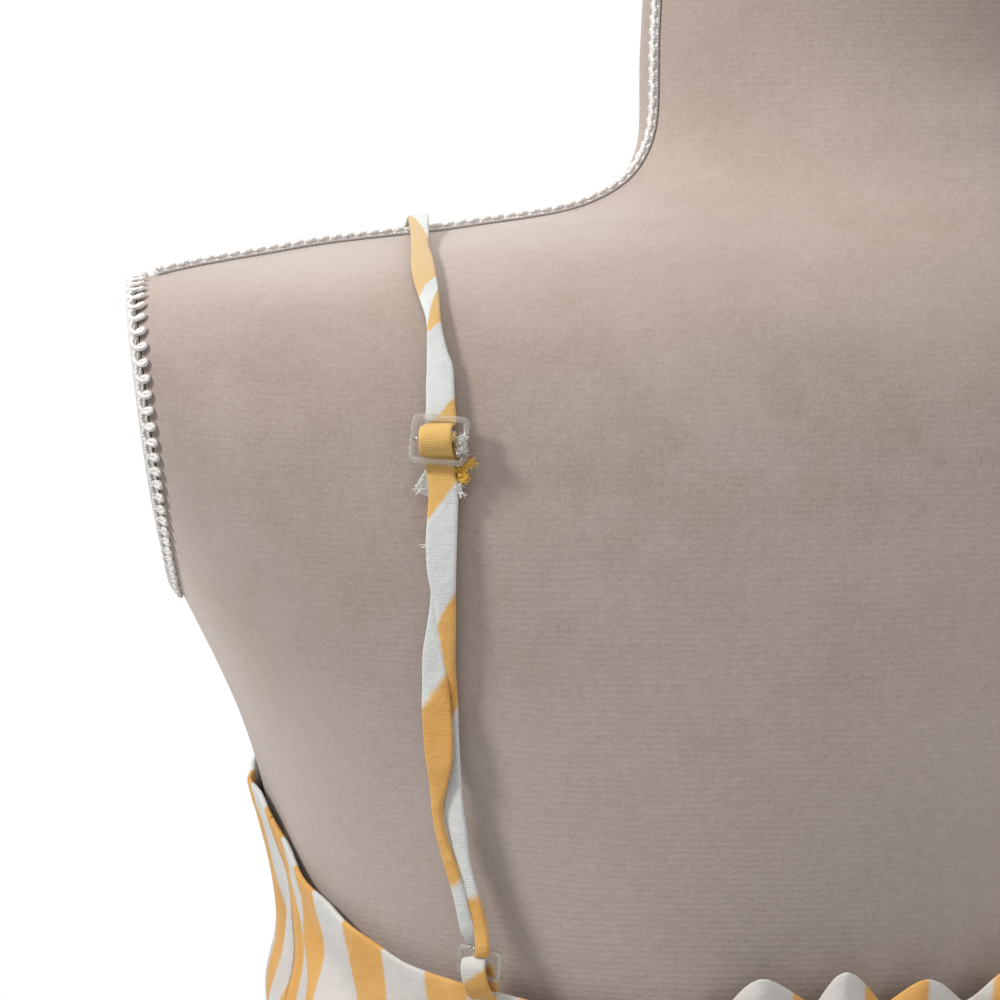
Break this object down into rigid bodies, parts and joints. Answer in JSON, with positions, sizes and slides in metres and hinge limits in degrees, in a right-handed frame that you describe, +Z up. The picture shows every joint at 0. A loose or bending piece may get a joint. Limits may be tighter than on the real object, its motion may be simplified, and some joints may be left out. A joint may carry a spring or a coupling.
{
  "type": "sundress on a dress form",
  "caption": "Striped sleeveless sundress with thin doubled shoulder straps, worn by a limbless dress form on a pole and a round base.",
  "frame": {"origin": "floor point under the pole, at the middle of the base's underside", "axes": "+Z up, -Y is the front of the form and the dress, +X is the wearer's left"},
  "size_m": [0.5479, 0.4302, 1.4813],
  "materials": {
    "dress": "yellow and off-white woven stripes, soft matt cotton",
    "clear_plastic": "clear moulded plastic, glossy",
    "form_cover": "taupe napped cover with a soft sheen",
    "form_plate": "pale grey cloth over a flat arm plate",
    "braid": "looped off-white trimming braid",
    "stand_metal": "satin dark paint"
  },
  "bodies": {
    "root": {"bodice_front": "dress", "bodice_side_back_left": "dress", "bodice_side_back_right": "dress", "bodice_back_shirred": "dress", "skirt_front": "dress", "skirt_back": "dress", "strap_left": "dress", "strap_right": "dress", "ring_tab_left": "dress", "ring_tab_right": "dress", "slider_left": "clear_plastic", "slider_right": "clear_plastic", "ring_left": "clear_plastic", "ring_right": "clear_plastic", "form_torso": "form_cover", "form_arm_plate_left": "form_plate", "form_arm_plate_right": "form_plate", "braid_armhole_left": "braid", "braid_armhole_right": "braid", "braid_shoulder_left": "braid", "braid_shoulder_right": "braid", "form_pole": "stand_metal", "form_base": "stand_metal"}
  },
  "joints": []
}
